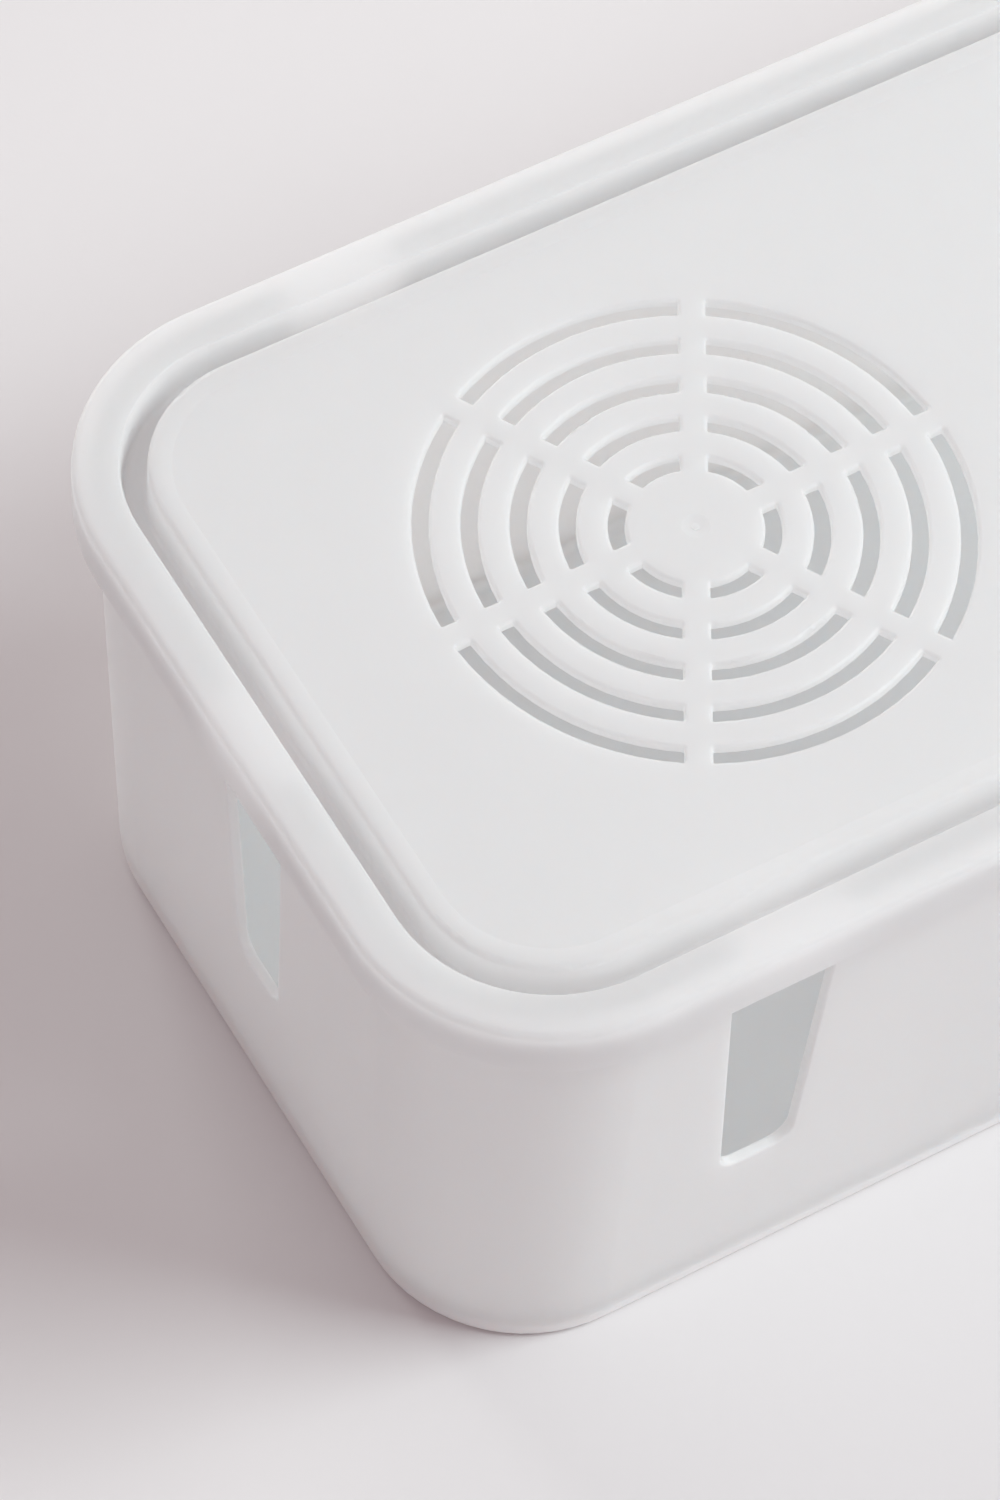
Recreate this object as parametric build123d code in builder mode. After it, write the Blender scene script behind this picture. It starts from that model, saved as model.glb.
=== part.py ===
from build123d import *
import math
import os

os.makedirs("parts", exist_ok=True)

# All sizes are in millimetres. The origin is the middle of the base, on the surface that the box
# stands on. X runs along the box, Y across it, and Z is up.

# Outer size, taken over the lid
lid_length = 320.0
lid_width = 136.5
box_height = 95.0
lid_corner_radius = 31.0

# Lid moulding: the rim with its skirt, the moat inside the rim, and the bead that frames the sunken panel
lid_wall = 1.5
skirt_height = 9.3
rim_edge_radius = 1.1
rim_inner_edge_radius = 0.35
skirt_lip_radius = 0.4
moat_depth = 7.0
moat_floor_width = 3.6
moat_corner_radius = 0.8
bead_width = 3.5
bead_height = 0.3
bead_slope = 15.0
bead_edge_radius = 1.0
bead_roll_radius = 7.0
ceiling_edge_radius = 1.0

# Tub moulding
tub_overhang = 3.33
tub_wall = 1.8
tub_floor = 2.0
tub_draft = 1.54
tub_base_radius = 1.5
tub_inner_radius = 2.0
base_recess_depth = 0.8
base_land_width = 9.0

# Fit of the lid's plug inside the tub
plug_clearance = 0.35

# Round vent grilles in the lid, and the mark of the moulding gate in the middle of each
grille_radius = 40.6
grille_end_distance = 77.0
slot_count = 5
slot_pitch = 7.01
slot_width = 2.5
slot_corner_radius = 0.25
slot_edge_radius = 0.6
spoke_count = 6
spoke_width = 4.0
gate_dish_radius = 2.1
gate_dish_depth = 0.4
gate_nub_radius = 0.6
gate_nub_drop = 0.2

# Cable notches in the tub's walls
notch_top_width = 18.0
notch_sill_width = 11.8
notch_sill_height = 31.0
notch_corner_radius = 3.4
notch_edge_radius = 0.4
side_notch_end_distance = 54.1
end_notch_offset = 2.3

# Heights and insets that follow from the sizes above. An inset is measured level, from the lid's outer face.
lean = math.tan(math.radians(tub_draft))
tub_height = box_height - lid_wall
tub_base_inset = tub_overhang + tub_height * lean
cavity_base_inset = tub_overhang + tub_wall + (tub_height - tub_floor) * lean
skirt_bottom = box_height - skirt_height
plug_inset = tub_overhang + tub_wall + plug_clearance
plug_height = moat_depth
rim_width = plug_inset + lid_wall
bead_inset = rim_width + moat_floor_width + 2 * moat_depth * lean
bead_slope_run = bead_height / math.tan(math.radians(bead_slope))
panel_inset = bead_inset + bead_width
panel_height = box_height - bead_height
ceiling_height = panel_height - lid_wall
gate_ball_radius = (gate_dish_radius**2 + gate_dish_depth**2) / (2 * gate_dish_depth)

# Places of the grilles and the notches. The notches in the ends stand a little nearer to the front.
grille_x = lid_length / 2 - grille_end_distance
notch_x = lid_length / 2 - side_notch_end_distance
grille_places = ((-grille_x, 0), (grille_x, 0))
side_notch_places = ((-notch_x, 0), (notch_x, 0))
end_notch_places = ((-end_notch_offset, 0),)

level_tolerance = 0.01


def plan(inset, mode=Mode.ADD):
    """Outline of the box seen from above, drawn in by an inset."""
    RectangleRounded(
        lid_length - 2 * inset,
        lid_width - 2 * inset,
        lid_corner_radius - inset,
        mode=mode,
    )


def at_height(shapes, height):
    """Those edges or faces that lie flat at a height."""
    return shapes.filter_by_position(Axis.Z, height - level_tolerance, height + level_tolerance)


def level_faces(part, height):
    """A part's faces that lie flat at a height, the smallest first."""
    return at_height(part.faces(), height).sort_by(SortBy.AREA)


# Outline of one cable notch, open at the tub's top edge
with BuildSketch() as notch:
    with BuildLine():
        Polyline(
            (-notch_sill_width / 2, notch_sill_height),
            (notch_sill_width / 2, notch_sill_height),
            (notch_top_width / 2, tub_height),
            (-notch_top_width / 2, tub_height),
            close=True,
        )
    make_face()
    fillet(notch.vertices().group_by(Axis.Y)[0], notch_corner_radius)

# The tub: a floor, four leaning walls, and cable notches in the long walls and the ends
with BuildPart() as tub:
    with BuildSketch():
        plan(tub_base_inset)
    extrude(amount=tub_height, taper=-tub_draft)
    fillet(at_height(tub.edges(), 0), tub_base_radius)

    with BuildSketch(Plane.XY.offset(tub_floor)):
        plan(cavity_base_inset)
    extrude(amount=tub_height - tub_floor, taper=-tub_draft, mode=Mode.SUBTRACT)
    fillet(at_height(tub.edges(), tub_floor), tub_inner_radius)

    with BuildSketch():
        plan(tub_base_inset + base_land_width)
    extrude(amount=base_recess_depth, mode=Mode.SUBTRACT)

    for cross_plane, places in ((Plane.XZ, side_notch_places), (Plane.YZ, end_notch_places)):
        with BuildSketch(cross_plane):
            with Locations(*places):
                add(notch.sketch)
        extrude(amount=lid_length, both=True, mode=Mode.SUBTRACT)
        fillet(tub.edges(Select.NEW), notch_edge_radius)

tub.part.label = "tub"
export_step(tub.part, "parts/tub.step")

# The lid: a rim with its skirt, a moat that plugs into the tub, and a framed panel with two grilles
with BuildPart() as lid:
    with BuildSketch(Plane.XY.offset(skirt_bottom)):
        plan(0)
    extrude(amount=skirt_height)
    fillet(at_height(lid.edges(), box_height), rim_edge_radius)

    with BuildSketch(Plane.XY.offset(skirt_bottom)):
        plan(lid_wall)
    extrude(amount=skirt_height - lid_wall, mode=Mode.SUBTRACT)
    fillet(at_height(lid.edges(), skirt_bottom), skirt_lip_radius)

    # The plug hangs under the lid and leans as the tub's walls do
    with BuildSketch(Plane.XY.offset(tub_height)):
        plan(plug_inset)
    extrude(amount=-plug_height, taper=tub_draft)
    with BuildSketch(Plane.XY.offset(ceiling_height)):
        plan(bead_inset + lid_wall)
    extrude(amount=-plug_height, mode=Mode.SUBTRACT)
    fillet(level_faces(lid, ceiling_height)[-1].edges(), ceiling_edge_radius)

    # The moat
    with BuildSketch(Plane.XY.offset(box_height)):
        plan(rim_width)
        plan(bead_inset, Mode.SUBTRACT)
    extrude(amount=-moat_depth, taper=tub_draft, mode=Mode.SUBTRACT)
    fillet(at_height(lid.edges(), box_height - moat_depth), moat_corner_radius)
    fillet(level_faces(lid, box_height)[0].inner_wires().edges(), rim_inner_edge_radius)
    fillet(level_faces(lid, box_height)[-1].edges(), bead_edge_radius)

    # The panel lies a little lower, and the bead round it rolls down to it
    with BuildSketch(Plane.XY.offset(box_height)):
        plan(panel_inset - bead_slope_run)
    extrude(amount=-bead_height, taper=90 - bead_slope, mode=Mode.SUBTRACT)
    fillet(level_faces(lid, box_height)[0].inner_wires().edges(), bead_roll_radius)

    # The grilles: rings of slots, crossed by spokes
    with BuildSketch(Plane.XY.offset(panel_height)) as grilles:
        with Locations(*grille_places):
            for ring in range(slot_count):
                outer_radius = grille_radius - ring * slot_pitch
                Circle(outer_radius)
                Circle(outer_radius - slot_width, mode=Mode.SUBTRACT)
            with PolarLocations(0, spoke_count):
                Rectangle(grille_radius, spoke_width, align=(Align.MIN, Align.CENTER), mode=Mode.SUBTRACT)
        fillet(grilles.vertices(), slot_corner_radius)
    extrude(amount=-lid_wall, mode=Mode.SUBTRACT)
    fillet(level_faces(lid, panel_height)[-1].inner_wires().edges(), slot_edge_radius)

    # The mark of the moulding gate in the middle of each hub: a shallow dish with a nub in it
    with Locations(*[(x, y, panel_height - gate_dish_depth + gate_ball_radius) for x, y in grille_places]):
        Sphere(gate_ball_radius, mode=Mode.SUBTRACT)
    with BuildSketch(Plane.XY.offset(panel_height - gate_nub_drop)):
        with Locations(*grille_places):
            Circle(gate_nub_radius)
    extrude(amount=-gate_dish_depth)

lid.part.label = "lid"
export_step(lid.part, "parts/lid.step")
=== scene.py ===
"""Finish a two-piece cable management box in white moulded plastic, and set up its studio stage."""

import math

import bmesh
import bpy
from bpy.props import FloatProperty, FloatVectorProperty, PointerProperty
from mathutils import Matrix, Vector


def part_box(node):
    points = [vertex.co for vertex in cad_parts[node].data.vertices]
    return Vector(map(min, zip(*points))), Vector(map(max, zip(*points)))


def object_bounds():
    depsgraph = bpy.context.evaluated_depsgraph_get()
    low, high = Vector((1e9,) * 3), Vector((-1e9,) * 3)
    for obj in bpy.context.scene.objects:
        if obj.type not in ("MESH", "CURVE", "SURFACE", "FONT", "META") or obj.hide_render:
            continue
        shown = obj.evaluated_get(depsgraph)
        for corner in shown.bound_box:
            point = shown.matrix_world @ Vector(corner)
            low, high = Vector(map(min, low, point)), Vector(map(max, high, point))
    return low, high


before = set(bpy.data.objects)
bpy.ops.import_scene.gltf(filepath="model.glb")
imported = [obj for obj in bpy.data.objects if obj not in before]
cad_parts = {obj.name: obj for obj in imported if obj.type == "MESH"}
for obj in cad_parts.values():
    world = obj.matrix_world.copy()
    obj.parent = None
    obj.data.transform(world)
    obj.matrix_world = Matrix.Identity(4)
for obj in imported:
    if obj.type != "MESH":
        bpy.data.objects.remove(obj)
cad_low, cad_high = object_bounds()
lid_low, lid_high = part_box("lid")

bl_info = {
    "name": "Cable Management Box",
    "version": (1, 0, 0),
    "blender": (4, 5, 0),
    "location": "View3D > Sidebar > Cable Box",
    "description": "Finishes a two-piece cable box in white moulded plastic and sets up its studio stage",
    "category": "Object",
}

# The moulding gates, where the plastic of each piece was injected
GRILLE_END_DISTANCE = 0.077
LID_GATES = (
    Vector((lid_low.x + GRILLE_END_DISTANCE, 0.0, lid_high.z)),
    Vector((lid_high.x - GRILLE_END_DISTANCE, 0.0, lid_high.z)),
)
TUB_GATES = (Vector((0.0, 0.0, cad_low[2])),)

# Noise reaches from 0 to 1 but seldom leaves its range from low to high. Detail counts its finer layers.
NOISE_LOW = 0.3
NOISE_HIGH = 0.7
NOISE_MEAN = 0.5
SLOW_DETAIL = 3.0
FINE_DETAIL = 2.0

# Wear grows from its least share to all of it between these two values of the slow noise
WEAR_NOISE_LOW = 0.35
WEAR_NOISE_HIGH = 0.65
LEAST_WEAR = 0.3

# How strongly the slow changes, the flow marks and the wear turn the plastic to its flow colour
DRIFT_TURN = 0.7
FLOW_TURN = 0.15
WEAR_TURN = 0.3

# The matt paper of the floor
PAPER_CLOUD_SIZE = 0.12
PAPER_TOOTH_SIZE = 0.0008
PAPER_TOOTH_HEIGHT = 0.00001
PAPER_SHADE = 0.985
PAPER_ROUGHNESS = 0.8
PAPER_ROUGHNESS_SPREAD = 0.1
PAPER_SPECULAR = 0.2

# The picture that the camera frames
PICTURE_WIDTH = 1000
PICTURE_HEIGHT = 1500
SENSOR_WIDTH = 36.0
CLIP_START = 0.01


class Number:
    """A number that varies over a surface. Arithmetic on it adds Math nodes."""

    def __init__(self, graph, socket):
        self.graph = graph
        self.socket = socket

    def __add__(self, other):
        return self.graph.math("ADD", self, other)

    def __radd__(self, other):
        return self.graph.math("ADD", other, self)

    def __sub__(self, other):
        return self.graph.math("SUBTRACT", self, other)

    def __rsub__(self, other):
        return self.graph.math("SUBTRACT", other, self)

    def __mul__(self, other):
        return self.graph.math("MULTIPLY", self, other)

    def __rmul__(self, other):
        return self.graph.math("MULTIPLY", other, self)


class Graph:
    """The nodes of one material or world."""

    def __init__(self, owner):
        owner.use_nodes = True
        self.nodes = owner.node_tree.nodes
        self.links = owner.node_tree.links
        self.nodes.clear()

    def add(self, kind, settings, inputs):
        """Add a node: its settings first, then the value or the link of each socket."""
        node = self.nodes.new(kind)
        for name, value in settings.items():
            setattr(node, name, value)
        for name, value in inputs.items():
            if isinstance(value, Number):
                value = value.socket
            if isinstance(value, bpy.types.NodeSocket):
                self.links.new(value, node.inputs[name])
            else:
                node.inputs[name].default_value = value
        return node

    def math(self, operation, *numbers):
        """Work out a number from others."""
        node = self.add("ShaderNodeMath", {"operation": operation}, dict(enumerate(numbers)))
        return Number(self, node.outputs[0])

    def noise(self, place, size, detail):
        """Soft noise from 0 to 1 with features of a size."""
        values = {"Vector": place, "Scale": 1 / size, "Detail": detail}
        node = self.add("ShaderNodeTexNoise", {}, values)
        return Number(self, node.outputs["Fac"])

    def distance(self, place, point):
        """How far a place is from a point."""
        node = self.add("ShaderNodeVectorMath", {"operation": "DISTANCE"}, {0: place, 1: point})
        return Number(self, node.outputs["Value"])

    def height(self, place):
        """How high a place is over the floor."""
        node = self.add("ShaderNodeSeparateXYZ", {}, {0: place})
        return Number(self, node.outputs["Z"])

    def ramp(self, number, low, high, start, end):
        """A number taken smoothly from one range to another, and held beyond its ends."""
        settings = {"interpolation_type": "SMOOTHSTEP", "clamp": True}
        values = {"Value": number, "From Min": low, "From Max": high, "To Min": start, "To Max": end}
        node = self.add("ShaderNodeMapRange", settings, values)
        return Number(self, node.outputs["Result"])

    def blend(self, mask, first, second):
        """One colour turning into another where the mask goes from 0 to 1."""
        colours = {0: mask, 6: (*first, 1.0), 7: (*second, 1.0)}
        node = self.add("ShaderNodeMix", {"data_type": "RGBA"}, colours)
        return node.outputs[2]


def studio_settings():
    """The scene's settings for this box."""
    return bpy.context.scene.cable_box


def moulded_plastic(name, plastic, gates, wear, passing):
    """White moulded plastic that passes some light, with satin grain, faint flow marks and a worn place."""
    material = bpy.data.materials.new(name)
    graph = Graph(material)
    place = graph.add("ShaderNodeTexCoord", {}, {}).outputs["Object"]

    drift = graph.noise(place, plastic.drift_size, SLOW_DETAIL)
    peel = graph.noise(place, plastic.peel_size, FINE_DETAIL)
    grain = graph.noise(place, plastic.grain_size, FINE_DETAIL)
    reach = graph.distance(place, gates[0])
    for gate in gates[1:]:
        reach = graph.math("MINIMUM", reach, graph.distance(place, gate))
    mark = graph.math("SINE", (reach + plastic.drift_size * drift) * (math.tau / plastic.flow_spacing))
    fade = graph.ramp(reach, 0.0, plastic.flow_reach, 1.0, 0.0)
    worn = wear(graph, place) * graph.ramp(drift, WEAR_NOISE_LOW, WEAR_NOISE_HIGH, LEAST_WEAR, 1.0)

    turn = graph.ramp(drift, NOISE_LOW, NOISE_HIGH, 0.0, DRIFT_TURN)
    turn = turn + mark * fade * FLOW_TURN + worn * WEAR_TURN
    colour = graph.blend(graph.ramp(turn, 0.0, 1.0, 0.0, 1.0), plastic.colour, plastic.flow_colour)
    spread = plastic.roughness_spread
    roughness = plastic.roughness + (drift - NOISE_MEAN) * spread + (grain - NOISE_MEAN) * spread
    roughness = roughness - worn * spread
    relief = peel * plastic.peel_height + grain * plastic.grain_height
    bump = graph.add("ShaderNodeBump", {}, {"Strength": 1.0, "Distance": 1.0, "Height": relief})

    shader = graph.add(
        "ShaderNodeBsdfPrincipled",
        {"subsurface_method": "RANDOM_WALK"},
        {
            "Base Color": colour,
            "Roughness": roughness,
            "Normal": bump.outputs["Normal"],
            "IOR": plastic.ior,
            "Subsurface Weight": 1.0,
            "Subsurface Radius": plastic.scatter,
            "Subsurface Scale": plastic.scatter_depth,
        },
    )
    glow = graph.add("ShaderNodeBsdfTranslucent", {}, {"Color": (*plastic.passing_colour, 1.0)})
    wall = graph.add(
        "ShaderNodeMixShader",
        {},
        {0: passing(graph, place), 1: shader.outputs["BSDF"], 2: glow.outputs["BSDF"]},
    )
    graph.add("ShaderNodeOutputMaterial", {}, {"Surface": wall.outputs["Shader"]})
    return material


def give_finish(node_name, material):
    """Put a material on every slot of a CAD node."""
    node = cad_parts[node_name]
    if not node.material_slots:
        raise RuntimeError(f"{node_name} has no material slot")
    for slot in node.material_slots:
        slot.material = material


def add_soft_lamp(name, aim, towards_lamp, stage, power, colour):
    """Add a soft square lamp that faces a point."""
    lamp = bpy.data.lights.new(name, "AREA")
    lamp.size = stage.lamp_width
    lamp.energy = power
    lamp.color = colour
    lamp_object = bpy.data.objects.new(name, lamp)
    bpy.context.scene.collection.objects.link(lamp_object)
    lamp_object.location = aim + towards_lamp * stage.lamp_distance
    lamp_object.rotation_euler = (-towards_lamp).to_track_quat("-Z", "Y").to_euler()


def direction(azimuth, elevation):
    """The unit vector towards an azimuth, taken from +X to +Y, and an elevation."""
    level = math.cos(elevation)
    return Vector((level * math.cos(azimuth), level * math.sin(azimuth), math.sin(elevation)))


class PlasticSettings(bpy.types.PropertyGroup):
    """The white plastic of one moulding."""

    colour: FloatVectorProperty(
        name="Colour",
        description="Colour of the plastic",
        subtype="COLOR",
        default=(0.965, 0.96, 0.96),
        min=0.0,
        max=1.0,
    )
    flow_colour: FloatVectorProperty(
        name="Flow Colour",
        description="Colour where the plastic cooled as it flowed",
        subtype="COLOR",
        default=(0.945, 0.94, 0.94),
        min=0.0,
        max=1.0,
    )
    passing_colour: FloatVectorProperty(
        name="Passing Colour",
        description="Colour of the light that passes into and out of the thin walls",
        subtype="COLOR",
        default=(0.995, 0.985, 0.988),
        min=0.0,
        max=1.0,
    )
    scatter: FloatVectorProperty(
        name="Scatter",
        description="How far red, green and blue light travel in the plastic, against each other",
        default=(1.0, 0.9, 0.85),
        min=0.0,
    )
    scatter_depth: FloatProperty(
        name="Scatter Depth",
        description="How far light travels inside the plastic",
        default=0.0015,
        min=0.0,
        unit="LENGTH",
    )
    ior: FloatProperty(
        name="Refraction",
        description="Index of refraction of the plastic",
        default=1.49,
        min=1.0,
    )
    roughness: FloatProperty(
        name="Roughness",
        description="Mean roughness of the moulded surface",
        subtype="FACTOR",
        default=0.34,
        min=0.0,
        max=1.0,
    )
    roughness_spread: FloatProperty(
        name="Roughness Spread",
        description="How much the roughness varies",
        subtype="FACTOR",
        default=0.05,
        min=0.0,
        max=0.5,
    )
    drift_size: FloatProperty(
        name="Drift Size",
        description="Size of the slow changes over the surface",
        default=0.045,
        min=0.001,
        unit="LENGTH",
    )
    peel_size: FloatProperty(
        name="Ripple Size",
        description="Size of the faint ripples that polished tooling leaves",
        default=0.006,
        min=0.0001,
        unit="LENGTH",
    )
    peel_height: FloatProperty(
        name="Ripple Height",
        description="Height of the faint ripples",
        default=0.000006,
        min=0.0,
        precision=6,
        unit="LENGTH",
    )
    grain_size: FloatProperty(
        name="Grain Size",
        description="Size of the satin grain",
        default=0.0006,
        min=0.0001,
        precision=5,
        unit="LENGTH",
    )
    grain_height: FloatProperty(
        name="Grain Height",
        description="Height of the satin grain",
        default=0.0000015,
        min=0.0,
        precision=7,
        unit="LENGTH",
    )
    flow_spacing: FloatProperty(
        name="Flow Mark Spacing",
        description="Distance from one flow mark to the next",
        default=0.011,
        min=0.001,
        unit="LENGTH",
    )
    flow_reach: FloatProperty(
        name="Flow Mark Reach",
        description="Distance from the gate at which the flow marks have faded",
        default=0.08,
        min=0.001,
        unit="LENGTH",
    )


class StageSettings(bpy.types.PropertyGroup):
    """The floor, the light and the camera."""

    floor_size: FloatProperty(
        name="Floor Size",
        description="Length of the floor's sides",
        default=6.0,
        min=0.5,
        unit="LENGTH",
    )
    floor_colour: FloatVectorProperty(
        name="Floor Colour",
        description="Colour of the floor",
        subtype="COLOR",
        default=(0.82, 0.79, 0.795),
        min=0.0,
        max=1.0,
    )
    world_colour: FloatVectorProperty(
        name="Ambient Colour",
        description="Colour of the light from all round",
        subtype="COLOR",
        default=(1.0, 0.84, 0.87),
        min=0.0,
        max=1.0,
    )
    world_strength: FloatProperty(
        name="Ambient Strength",
        description="Strength of the light from all round",
        default=0.39,
        min=0.0,
    )
    backdrop_colour: FloatVectorProperty(
        name="Backdrop Colour",
        description="Colour of the room as the camera, reflections and light through the plastic see it",
        subtype="COLOR",
        default=(1.0, 0.98, 0.985),
        min=0.0,
        max=1.0,
    )
    backdrop_strength: FloatProperty(
        name="Backdrop Strength",
        description="Brightness of the room as the camera, reflections and light through the plastic see it",
        default=0.6,
        min=0.0,
    )
    lamp_distance: FloatProperty(
        name="Lamp Distance",
        description="Distance of the lamps from the box",
        default=1.8,
        min=0.1,
        unit="LENGTH",
    )
    lamp_width: FloatProperty(
        name="Lamp Width",
        description="Length of the sides of the square lamps",
        default=0.9,
        min=0.01,
        unit="LENGTH",
    )
    key_colour: FloatVectorProperty(
        name="Key Colour",
        description="Colour of the main lamp",
        subtype="COLOR",
        default=(0.89, 1.0, 1.0),
        min=0.0,
        max=1.0,
    )
    key_power: FloatProperty(
        name="Key Power",
        description="Power of the main lamp",
        default=26.0,
        min=0.0,
        unit="POWER",
    )
    key_azimuth: FloatProperty(
        name="Key Azimuth",
        description="Direction of the main lamp, from the box's length towards its back",
        subtype="ANGLE",
        default=math.radians(-30),
    )
    key_elevation: FloatProperty(
        name="Key Elevation",
        description="Height of the main lamp over the floor, as an angle",
        subtype="ANGLE",
        default=math.radians(45),
    )
    back_colour: FloatVectorProperty(
        name="Back Colour",
        description="Colour of the lamp behind the box",
        subtype="COLOR",
        default=(0.94, 1.0, 0.96),
        min=0.0,
        max=1.0,
    )
    back_power: FloatProperty(
        name="Back Power",
        description="Power of the lamp behind the box",
        default=15.0,
        min=0.0,
        unit="POWER",
    )
    back_azimuth: FloatProperty(
        name="Back Azimuth",
        description="Direction of the lamp behind the box, from the box's length towards its back",
        subtype="ANGLE",
        default=math.radians(90),
    )
    back_elevation: FloatProperty(
        name="Back Elevation",
        description="Height over the floor of the lamp behind the box, as an angle",
        subtype="ANGLE",
        default=math.radians(15),
    )
    focal_pixels: FloatProperty(
        name="Focal Length",
        description="Focal length of the camera, in pixels of the picture",
        default=6476.9,
        min=1.0,
    )
    camera_azimuth: FloatProperty(
        name="Camera Azimuth",
        description="Turn of the camera round the box, from its front towards its right end",
        subtype="ANGLE",
        default=math.radians(-32.976),
    )
    camera_elevation: FloatProperty(
        name="Camera Elevation",
        description="Height of the camera over the floor, as an angle",
        subtype="ANGLE",
        default=math.radians(56.186),
    )
    camera_roll: FloatProperty(
        name="Camera Roll",
        description="Turn of the camera about its line of sight",
        subtype="ANGLE",
        default=math.radians(3.795),
    )
    camera_depth: FloatProperty(
        name="Camera Depth",
        description="Depth of the aim point before the camera",
        default=0.92438,
        min=0.1,
        unit="LENGTH",
    )
    aim: FloatVectorProperty(
        name="Aim Point",
        description="Point on the lid that the camera is set out from",
        subtype="TRANSLATION",
        default=(-0.0845, 0.0, 0.095),
    )
    aim_column: FloatProperty(
        name="Aim Column",
        description="Column of the picture in which the aim point lies",
        default=686.61,
    )
    aim_row: FloatProperty(
        name="Aim Row",
        description="Row of the picture in which the aim point lies",
        default=528.30,
    )


class CableBoxSettings(bpy.types.PropertyGroup):
    """All settings of the cable box."""

    tub: PointerProperty(name="Tub", description="Plastic of the tub", type=PlasticSettings)
    lid: PointerProperty(name="Lid", description="Plastic of the lid", type=PlasticSettings)
    stage: PointerProperty(name="Stage", description="Floor, light and camera", type=StageSettings)


class CABLEBOX_OT_finish_tub(bpy.types.Operator):
    """Give the tub its white plastic, rubbed smooth along its foot"""

    bl_idname = "cable_box.finish_tub"
    bl_label = "Finish the Tub"

    rub_height: FloatProperty(
        name="Rubbed Height",
        description="Height over the floor up to which the tub is rubbed smooth",
        default=0.006,
        min=0.0,
        unit="LENGTH",
    )
    base_height: FloatProperty(
        name="Base Height",
        description="Height over the floor of the base's upper side, where no light passes",
        default=0.002,
        min=0.0,
        unit="LENGTH",
    )
    clear_height: FloatProperty(
        name="Clear Height",
        description="Height over the floor from which the walls pass their full share of light",
        default=0.006,
        min=0.0,
        unit="LENGTH",
    )
    passing_share: FloatProperty(
        name="Passing Share",
        description="Share of the light that passes each face of the walls",
        subtype="FACTOR",
        default=0.42,
        min=0.0,
        max=1.0,
    )

    def rubbed(self, graph, place):
        """Where the tub is rubbed: near its foot."""
        return graph.ramp(graph.height(place), 0.0, self.rub_height, 1.0, 0.0)

    def passing(self, graph, place):
        """The share of light that passes: none where the base lies on the floor, and more up the walls."""
        height = graph.height(place)
        return graph.ramp(height, self.base_height, self.clear_height, 0.0, self.passing_share)

    def execute(self, context):
        plastic = studio_settings().tub
        material = moulded_plastic("tub_white_plastic", plastic, TUB_GATES, self.rubbed, self.passing)
        give_finish("tub", material)
        return {"FINISHED"}


class CABLEBOX_OT_finish_lid(bpy.types.Operator):
    """Give the lid its white plastic, handled smooth round its skirt"""

    bl_idname = "cable_box.finish_lid"
    bl_label = "Finish the Lid"

    grip_depth: FloatProperty(
        name="Grip Depth",
        description="How far down from the top the skirt is handled",
        default=0.009,
        min=0.0,
        unit="LENGTH",
    )
    passing_share: FloatProperty(
        name="Passing Share",
        description="Share of the light that passes each face of the lid",
        subtype="FACTOR",
        default=0.6,
        min=0.0,
        max=1.0,
    )

    def handled(self, graph, place):
        """Where the lid is handled: low on its skirt."""
        return graph.ramp(graph.height(place), lid_high.z - self.grip_depth, lid_high.z, 1.0, 0.0)

    def passing(self, graph, place):
        """The share of light that passes: the same all over."""
        return self.passing_share

    def execute(self, context):
        plastic = studio_settings().lid
        material = moulded_plastic("lid_white_plastic", plastic, LID_GATES, self.handled, self.passing)
        give_finish("lid", material)
        return {"FINISHED"}


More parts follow.
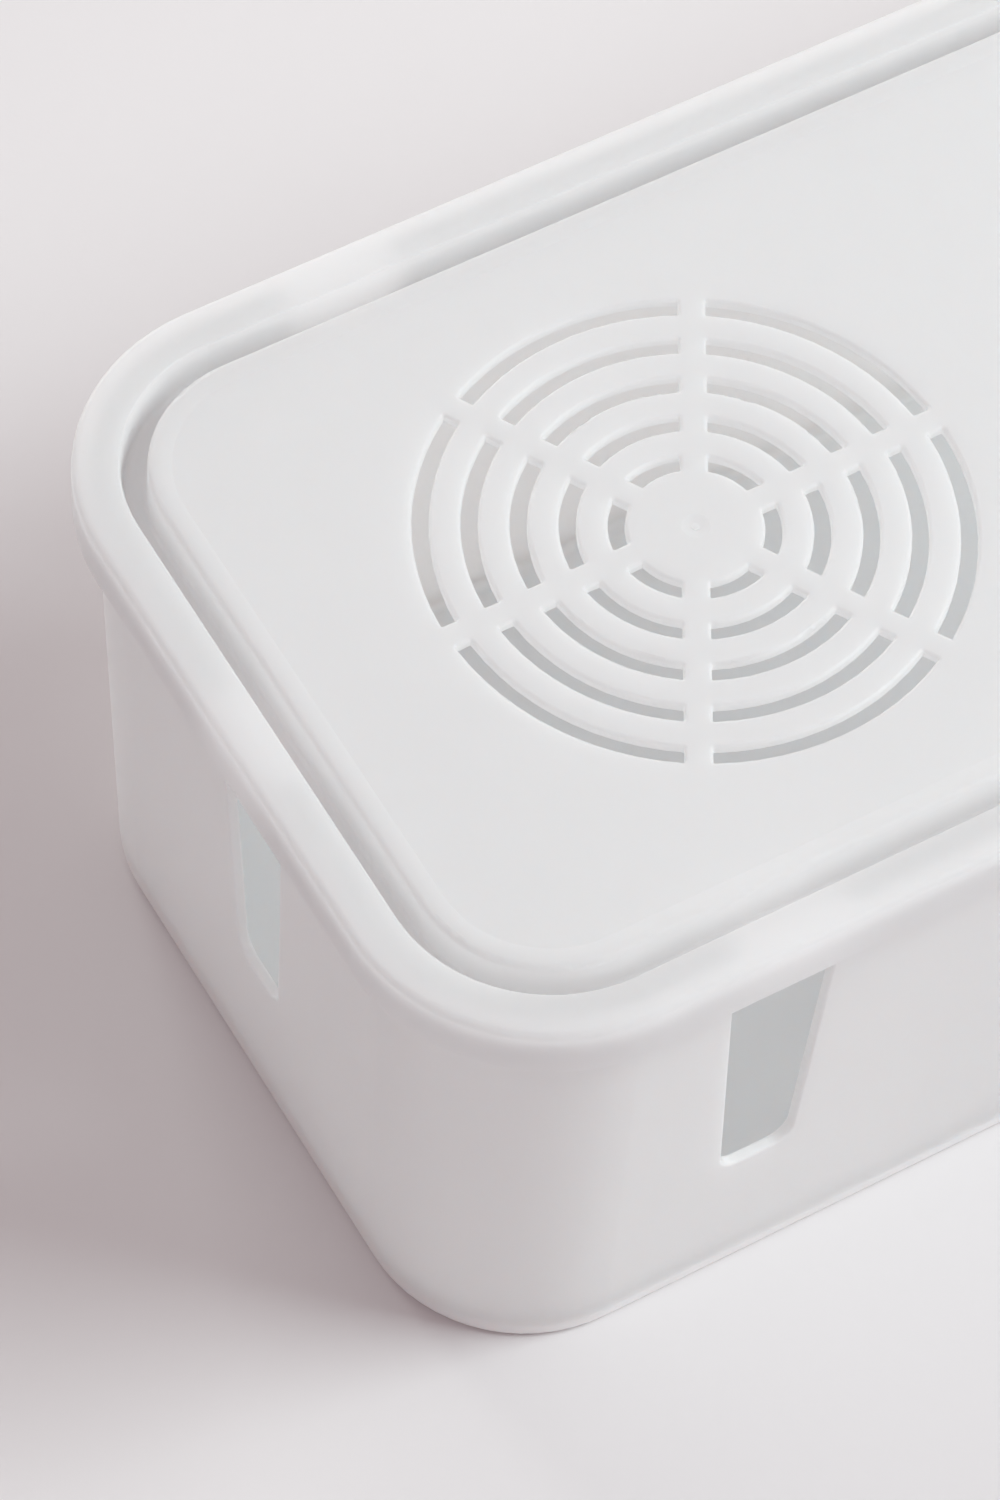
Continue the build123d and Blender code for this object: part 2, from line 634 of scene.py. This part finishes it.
class CABLEBOX_OT_set_stage(bpy.types.Operator):
    """Lay the floor, light the box and set up the camera"""

    bl_idname = "cable_box.set_stage"
    bl_label = "Set the Stage"

    def lay_floor(self, stage):
        """A plain pale floor of matt paper."""
        sheet = bmesh.new()
        bmesh.ops.create_grid(sheet, x_segments=1, y_segments=1, size=stage.floor_size / 2)
        mesh = bpy.data.meshes.new("floor")
        sheet.to_mesh(mesh)
        sheet.free()
        floor = bpy.data.objects.new("floor", mesh)
        bpy.context.scene.collection.objects.link(floor)

        material = bpy.data.materials.new("floor_matt_paper")
        graph = Graph(material)
        place = graph.add("ShaderNodeTexCoord", {}, {}).outputs["Object"]
        cloud = graph.noise(place, PAPER_CLOUD_SIZE, FINE_DETAIL)
        tooth = graph.noise(place, PAPER_TOOTH_SIZE, FINE_DETAIL)
        pale = stage.floor_colour
        shaded = tuple(PAPER_SHADE * channel for channel in pale)
        colour = graph.blend(graph.ramp(cloud, NOISE_LOW, NOISE_HIGH, 0.0, 1.0), pale, shaded)
        bump = graph.add("ShaderNodeBump", {}, {"Distance": 1.0, "Height": tooth * PAPER_TOOTH_HEIGHT})
        shader = graph.add(
            "ShaderNodeBsdfPrincipled",
            {},
            {
                "Base Color": colour,
                "Roughness": PAPER_ROUGHNESS + tooth * PAPER_ROUGHNESS_SPREAD,
                "Normal": bump.outputs["Normal"],
                "Specular IOR Level": PAPER_SPECULAR,
            },
        )
        graph.add("ShaderNodeOutputMaterial", {}, {"Surface": shader.outputs["BSDF"]})
        mesh.materials.append(material)

    def light_room(self, stage):
        """An even pale room, a large soft lamp from the front right, and one from behind."""
        world = bpy.data.worlds.new("studio_room")
        bpy.context.scene.world = world
        graph = Graph(world)
        path = graph.add("ShaderNodeLightPath", {}, {}).outputs
        seen = graph.math("MAXIMUM", path["Is Camera Ray"], path["Is Glossy Ray"])
        seen = graph.math("MAXIMUM", seen, path["Is Transmission Ray"])
        ambient = graph.add(
            "ShaderNodeBackground",
            {},
            {"Color": (*stage.world_colour, 1.0), "Strength": stage.world_strength},
        )
        backdrop = graph.add(
            "ShaderNodeBackground",
            {},
            {"Color": (*stage.backdrop_colour, 1.0), "Strength": stage.backdrop_strength},
        )
        room = graph.add(
            "ShaderNodeMixShader",
            {},
            {0: seen, 1: ambient.outputs["Background"], 2: backdrop.outputs["Background"]},
        )
        graph.add("ShaderNodeOutputWorld", {}, {"Surface": room.outputs["Shader"]})

        aim = Vector((stage.aim[0], stage.aim[1], (cad_low[2] + cad_high[2]) / 2))
        key = direction(stage.key_azimuth, stage.key_elevation)
        back = direction(stage.back_azimuth, stage.back_elevation)
        add_soft_lamp("key_lamp", aim, key, stage, stage.key_power, stage.key_colour)
        add_soft_lamp("back_lamp", aim, back, stage, stage.back_power, stage.back_colour)

    def set_camera(self, stage):
        """A long lens that looks down on the box from its front left."""
        towards_camera = direction(stage.camera_azimuth - math.pi / 2, stage.camera_elevation)
        level_side = Vector((0.0, 0.0, 1.0)).cross(towards_camera).normalized()
        level_up = towards_camera.cross(level_side)
        roll = stage.camera_roll
        side = level_side * math.cos(roll) + level_up * math.sin(roll)
        up = level_up * math.cos(roll) - level_side * math.sin(roll)
        placement = Matrix((side, up, towards_camera)).transposed()

        column = (stage.aim_column - PICTURE_WIDTH / 2) / stage.focal_pixels
        row = (PICTURE_HEIGHT / 2 - stage.aim_row) / stage.focal_pixels
        aim_in_view = Vector((column, row, -1.0)) * stage.camera_depth
        camera = bpy.data.cameras.new("camera")
        camera.sensor_width = SENSOR_WIDTH
        camera.lens = stage.focal_pixels * SENSOR_WIDTH / max(PICTURE_WIDTH, PICTURE_HEIGHT)
        camera.clip_start = CLIP_START
        camera_object = bpy.data.objects.new("camera", camera)
        bpy.context.scene.collection.objects.link(camera_object)
        location = Vector(stage.aim) - placement @ aim_in_view
        camera_object.matrix_world = Matrix.Translation(location) @ placement.to_4x4()
        bpy.context.scene.camera = camera_object

    def execute(self, context):
        stage = studio_settings().stage
        self.lay_floor(stage)
        self.light_room(stage)
        self.set_camera(stage)
        bpy.context.scene.view_settings.view_transform = "Standard"
        return {"FINISHED"}


class CABLEBOX_PT_sidebar(bpy.types.Panel):
    """The cable box in the 3D view's sidebar"""

    bl_idname = "CABLEBOX_PT_sidebar"
    bl_label = "Cable Box"
    bl_space_type = "VIEW_3D"
    bl_region_type = "UI"
    bl_category = "Cable Box"

    def draw(self, context):
        settings = studio_settings()
        steps = (
            (settings.stage, CABLEBOX_OT_set_stage),
            (settings.tub, CABLEBOX_OT_finish_tub),
            (settings.lid, CABLEBOX_OT_finish_lid),
        )
        for group, operator in steps:
            box = self.layout.box()
            box.operator(operator.bl_idname)
            for name in group.__annotations__:
                box.prop(group, name)


CLASSES = (
    PlasticSettings,
    StageSettings,
    CableBoxSettings,
    CABLEBOX_OT_finish_tub,
    CABLEBOX_OT_finish_lid,
    CABLEBOX_OT_set_stage,
    CABLEBOX_PT_sidebar,
)


def register():
    """Register the classes and hang the settings on the scene."""
    for cls in CLASSES:
        bpy.utils.register_class(cls)
    bpy.types.Scene.cable_box = PointerProperty(type=CableBoxSettings)


def unregister():
    """Take the settings and the classes away again."""
    del bpy.types.Scene.cable_box
    for cls in reversed(CLASSES):
        bpy.utils.unregister_class(cls)


def main():
    """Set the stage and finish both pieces."""
    register()
    bpy.ops.cable_box.set_stage()
    bpy.ops.cable_box.finish_tub()
    bpy.ops.cable_box.finish_lid()


if __name__ == "__main__":
    main()
